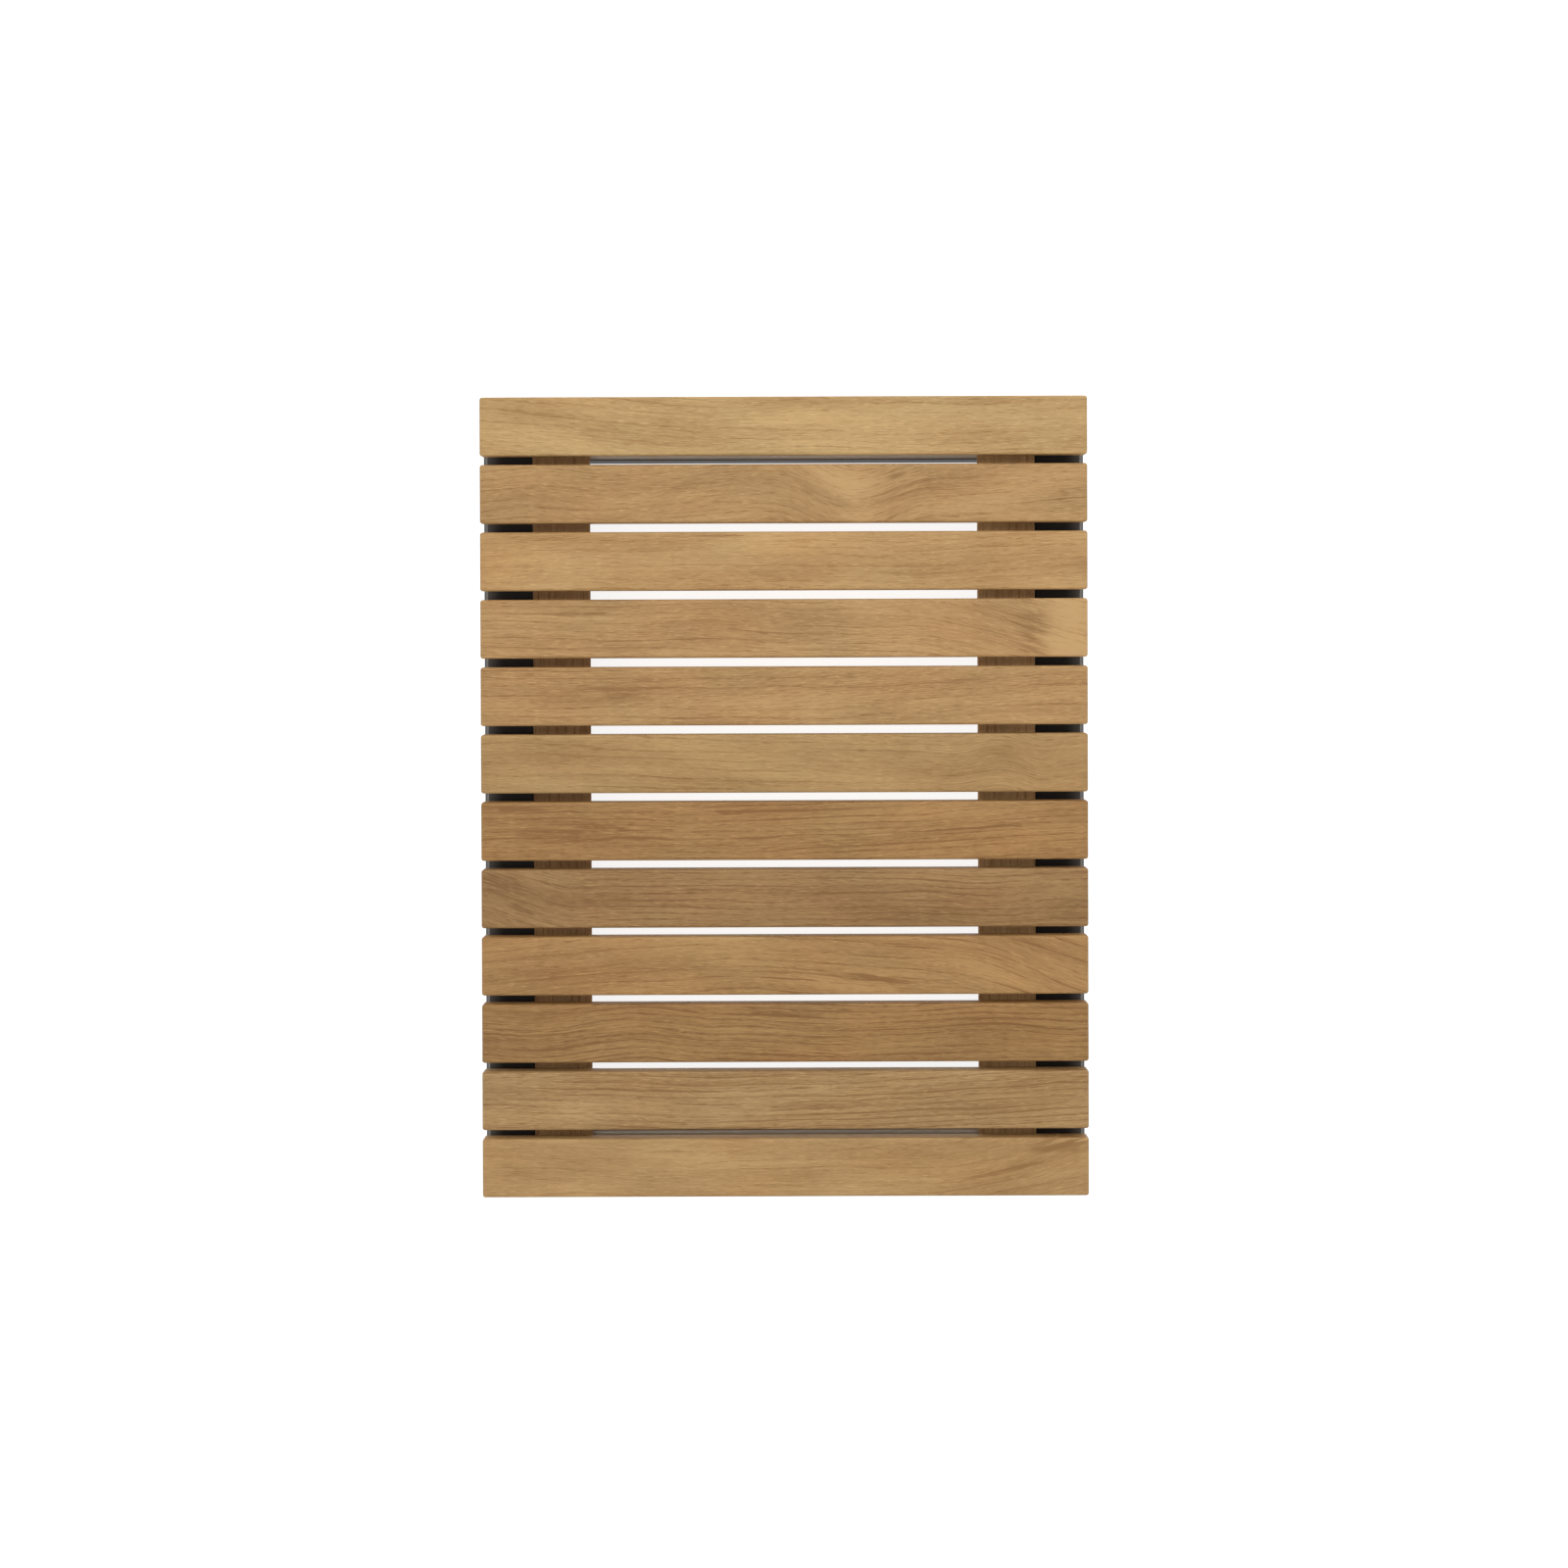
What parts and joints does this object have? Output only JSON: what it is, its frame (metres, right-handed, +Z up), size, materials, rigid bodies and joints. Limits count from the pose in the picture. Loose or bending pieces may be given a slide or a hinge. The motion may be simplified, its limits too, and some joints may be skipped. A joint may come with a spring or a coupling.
{
  "type": "slatted bath mat",
  "caption": "Rigid slatted bath mat: teak slats with narrow drain gaps on two battens and a low dark steel tube frame with rubber feet.",
  "frame": {"origin": "centre of the mat on the floor, midway between the feet", "axes": "+X along the slats, +Y across the slats towards the back, which is the long side, +Z up from the floor to the standing surface"},
  "size_m": [0.455, 0.6, 0.063],
  "materials": {
    "teak_slat": "oiled teak, fine straight pores, satin",
    "teak_batten": "oiled teak, sawn and planed, matt",
    "frame_paint": "dark satin powder coat with a fine texture",
    "foot_rubber": "matt moulded rubber",
    "screw_steel": "plain stainless steel"
  },
  "bodies": {
    "root": {"slat_01": "teak_slat", "slat_02": "teak_slat", "slat_03": "teak_slat", "slat_04": "teak_slat", "slat_05": "teak_slat", "slat_06": "teak_slat", "slat_07": "teak_slat", "slat_08": "teak_slat", "slat_09": "teak_slat", "slat_10": "teak_slat", "slat_11": "teak_slat", "slat_12": "teak_slat", "batten_left": "teak_batten", "batten_right": "teak_batten", "side_tube_left": "frame_paint", "side_tube_right": "frame_paint", "cross_tube_front": "frame_paint", "cross_tube_back": "frame_paint", "foot_front_left": "foot_rubber", "foot_front_right": "foot_rubber", "foot_back_left": "foot_rubber", "foot_back_right": "foot_rubber", "slat_screws": "screw_steel", "frame_screws": "screw_steel", "foot_screws": "screw_steel"}
  },
  "joints": []
}
